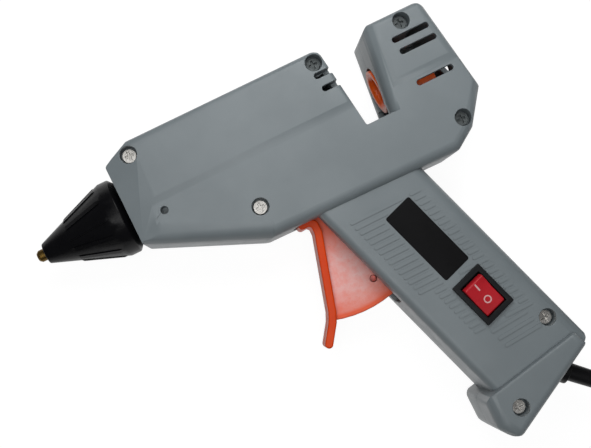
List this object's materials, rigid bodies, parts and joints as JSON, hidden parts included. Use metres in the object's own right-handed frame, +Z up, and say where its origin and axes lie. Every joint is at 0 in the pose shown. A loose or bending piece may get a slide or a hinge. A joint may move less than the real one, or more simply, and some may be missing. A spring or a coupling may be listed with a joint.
{
  "type": "hot glue gun",
  "caption": "Mains hot glue gun lying on its side: grey pistol housing with a stick notch, black nose cone, orange trigger, red rocker switch and a coiled cord with plug.",
  "frame": {"origin": "on the surface the gun lies on, under the middle of the gun's own box, cord left out", "axes": "+X from the nozzle to the rear along the glue stick, +Y to the top of the gun, +Z up from the surface, out of the left side"},
  "size_m": [0.3128, 0.2226, 0.042],
  "materials": {
    "grey_plastic": "fine-textured moulded, satin",
    "black_phenolic": "semi-gloss moulded",
    "orange_plastic": "satin moulded",
    "red_plastic": "glossy, slightly clear",
    "black_plastic": "satin",
    "black_plate": "printed film, bare",
    "steel": "zinc plated",
    "brass": "turned",
    "aluminium": "cast",
    "ceramic": "sintered",
    "mica": "sheet",
    "silicone": "matt",
    "cord_rubber": "satin",
    "wire_blue": "satin",
    "wire_brown": "satin"
  },
  "bodies": {
    "housing": {"left_shell": "grey_plastic", "right_shell": "grey_plastic", "casing_screws": "steel", "rating_plate": "black_plate", "nose_cone": "black_phenolic", "nozzle": "brass", "melt_chamber": "aluminium", "heater_element": "ceramic", "contact_plates": "brass", "insulating_sheets": "mica", "inlet_sleeve": "silicone", "sleeve_band": "steel", "stick_guide": "black_plastic", "return_spring": "steel", "trigger_pin": "steel", "switch_housing": "black_plastic", "switch_terminals": "brass", "cord_clamp": "black_plastic", "cord_clamp_screws": "steel", "cord_gland": "cord_rubber", "cord_inner": "cord_rubber", "neutral_wire": "wire_blue", "live_wire": "wire_brown", "switched_wire": "wire_brown", "cord_lead": "cord_rubber", "cord_coil": "cord_rubber", "cord_tie": "black_plastic", "cord_tail": "cord_rubber", "plug_body": "black_plastic", "plug_pins": "steel"},
    "trigger": {"trigger": "orange_plastic"},
    "carriage": {"feed_carriage": "orange_plastic", "drive_pin": "steel"},
    "clamp": {"stick_clamp": "orange_plastic"},
    "rocker": {"switch_rocker": "red_plastic"}
  },
  "joints": [
    {"name": "trigger_pull", "type": "hinge", "parent": "housing", "child": "trigger", "pos_m": [0.01652, 0.03307, 0.021], "axis": [0, 0, 1], "range_deg": [0, 28], "stiffness_Nm_per_rad": 0.25, "springref_deg": -20.05},
    {"name": "feed_slide", "type": "slide", "parent": "housing", "child": "carriage", "axis": [-1, 0, 0], "range_m": [0, 0.00923], "deforming": ["return_spring"]},
    {"name": "clamp_tilt", "type": "hinge", "parent": "carriage", "child": "clamp", "pos_m": [0.07997, 0.06457, 0.021], "axis": [0, 0, 1], "range_deg": [0, 3.01]},
    {"name": "switch_press", "type": "hinge", "parent": "housing", "child": "rocker", "pos_m": [0.05955, -0.03173, 0.036], "axis": [-0.9511, -0.309, 0], "range_deg": [0, 18]}
  ],
  "couplings": [
    {"joint": "feed_slide", "follows": "trigger_pull", "m_per_rad": 0.018877},
    {"joint": "clamp_tilt", "follows": "trigger_pull", "ratio": 0.10714}
  ]
}
